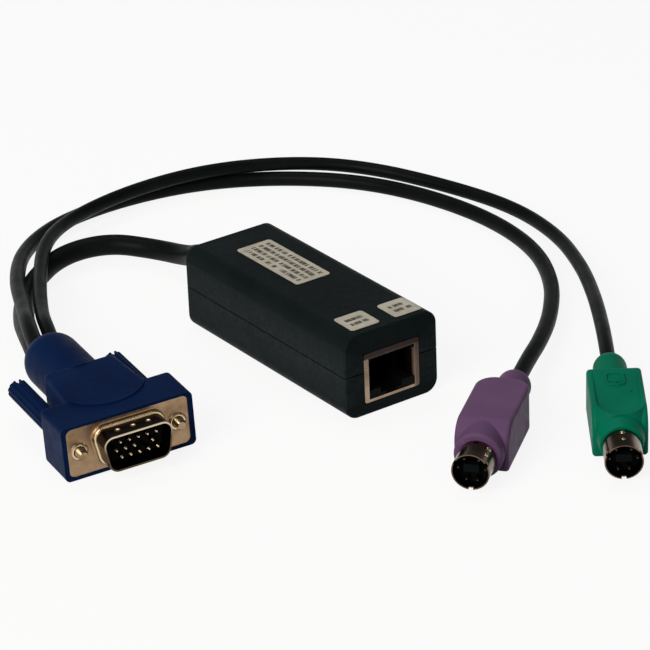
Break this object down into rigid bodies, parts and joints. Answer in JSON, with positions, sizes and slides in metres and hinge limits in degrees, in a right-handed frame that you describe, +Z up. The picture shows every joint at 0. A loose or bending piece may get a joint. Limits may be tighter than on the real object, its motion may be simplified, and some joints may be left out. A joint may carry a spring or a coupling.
{
  "type": "kvm dongle",
  "caption": "Adapter box with a network jack in its end, corded to a thumbscrewed video plug and on from there to round keyboard and mouse plugs.",
  "frame": {"origin": "under the middle of the housing, on the surface that it stands on", "axes": "+Z up, +Y along the housing from its network jack towards its cord, +X across it to the right as seen from the jack"},
  "size_m": [0.1745, 0.2094, 0.0218],
  "materials": {
    "housing": "finely textured, near black",
    "black_moulding": "smooth black",
    "cord_jacket": "satin flexible jacket",
    "tin": "tin-plated sheet",
    "plug_steel": "bright nickel-plated",
    "steel": "nickel-plated",
    "gold": "gold-flashed",
    "board": "green solder mask",
    "chip": "moulded package",
    "can": "bare can",
    "header": "off-white",
    "wire": "grey insulation",
    "label": "printed sticker, left plain",
    "blue_moulding": "blue flexible moulding",
    "purple_moulding": "purple flexible moulding",
    "green_moulding": "green flexible moulding"
  },
  "bodies": {
    "dongle": {"housing_top": "housing", "housing_bottom": "housing", "housing_screw_front": "steel", "housing_screw_rear": "steel", "circuit_board": "board", "jack_shield": "tin", "jack_insert": "black_moulding", "jack_contacts": "gold", "controller_chip": "chip", "video_chip": "chip", "crystal": "steel", "capacitors": "can", "cable_header": "header", "trunk_wires": "wire", "cable_grommet": "cord_jacket", "label_main": "label", "label_left": "label", "label_right": "label", "trunk_cord": "cord_jacket", "keyboard_cord": "cord_jacket", "mouse_cord": "cord_jacket", "video_hood": "blue_moulding", "video_front_shell": "tin", "video_back_shell": "tin", "video_insulator": "black_moulding", "video_pins": "steel", "keyboard_plug_body": "purple_moulding", "keyboard_plug_shell": "plug_steel", "keyboard_plug_insulator": "black_moulding", "keyboard_plug_pins": "steel", "mouse_plug_body": "green_moulding", "mouse_plug_shell": "plug_steel", "mouse_plug_insulator": "black_moulding", "mouse_plug_pins": "steel"},
    "left_thumbscrew": {"left_jackscrew": "steel", "left_knob": "blue_moulding"},
    "right_thumbscrew": {"right_jackscrew": "steel", "right_knob": "blue_moulding"}
  },
  "joints": [
    {"name": "left_thumbscrew_turn", "type": "hinge", "parent": "dongle", "child": "left_thumbscrew", "pos_m": [-0.07766, -0.0179, 0.00726], "axis": [-0.1409, -0.9899, -0.0122], "continuous": true},
    {"name": "right_thumbscrew_turn", "type": "hinge", "parent": "dongle", "child": "right_thumbscrew", "pos_m": [-0.05294, -0.02144, 0.00834], "axis": [-0.1409, -0.9899, -0.0122], "continuous": true}
  ]
}
